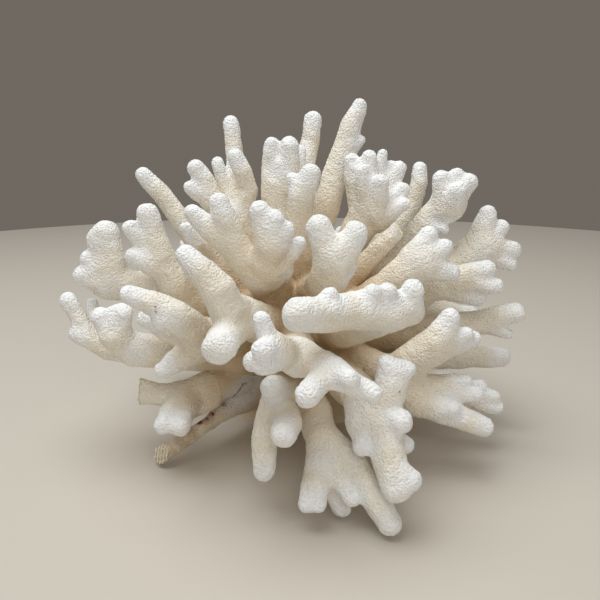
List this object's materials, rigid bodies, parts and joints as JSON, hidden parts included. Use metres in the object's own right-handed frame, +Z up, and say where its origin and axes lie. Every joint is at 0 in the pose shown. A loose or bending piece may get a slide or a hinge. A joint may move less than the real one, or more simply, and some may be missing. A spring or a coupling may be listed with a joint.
{
  "type": "elkhorn coral skeleton",
  "caption": "Bushy white branching coral skeleton with stubby round-tipped fingers, cut flat at the foot so that it stands as an ornament.",
  "frame": {"origin": "middle of the flat cut under the foot, on the surface that the coral stands on", "axes": "+Z up from the cut, +X to the right of the picture along the colony's longest extent, +Y away from the viewer"},
  "size_m": [0.2465, 0.226, 0.1855],
  "materials": {
    "white_coral": "matt, finely granular bleached coral skeleton",
    "foot_coral": "matt stained coral skeleton with a broken, flat-cut foot"
  },
  "bodies": {
    "root": {"trunk": "foot_coral", "back_crown": "white_coral", "front_crown": "white_coral", "front_hand": "white_coral", "front_heart_fork": "white_coral", "front_left_bough": "white_coral", "front_low_left_fork": "white_coral", "front_palm": "white_coral", "front_right_bough": "white_coral", "front_stem": "white_coral", "front_tee": "white_coral", "left_broken_stub": "foot_coral", "left_crown": "white_coral", "left_front_blade": "white_coral", "left_front_finger": "white_coral", "left_low_fork": "white_coral", "left_tall_finger": "white_coral", "left_upper_bough": "white_coral", "middle_crown": "white_coral", "middle_knob": "white_coral", "rear_crown": "white_coral", "rear_left_bough": "white_coral", "rear_left_centre_fork": "white_coral", "rear_low_bough": "white_coral", "rear_low_left_bough": "white_coral", "rear_low_right_bough": "white_coral", "rear_middle_bough": "white_coral", "rear_right_bough": "white_coral", "rear_right_centre_fork": "white_coral", "rear_upper_left_fork": "white_coral", "rear_upper_right_fork": "white_coral", "right_bough": "white_coral", "right_broken_finger": "white_coral", "right_crown_paw": "white_coral", "right_inner_paw": "white_coral", "right_long_finger": "white_coral", "right_low_blade": "white_coral", "right_rear_finger": "white_coral", "right_small_fork": "white_coral", "right_upper_paw": "white_coral"}
  },
  "joints": []
}
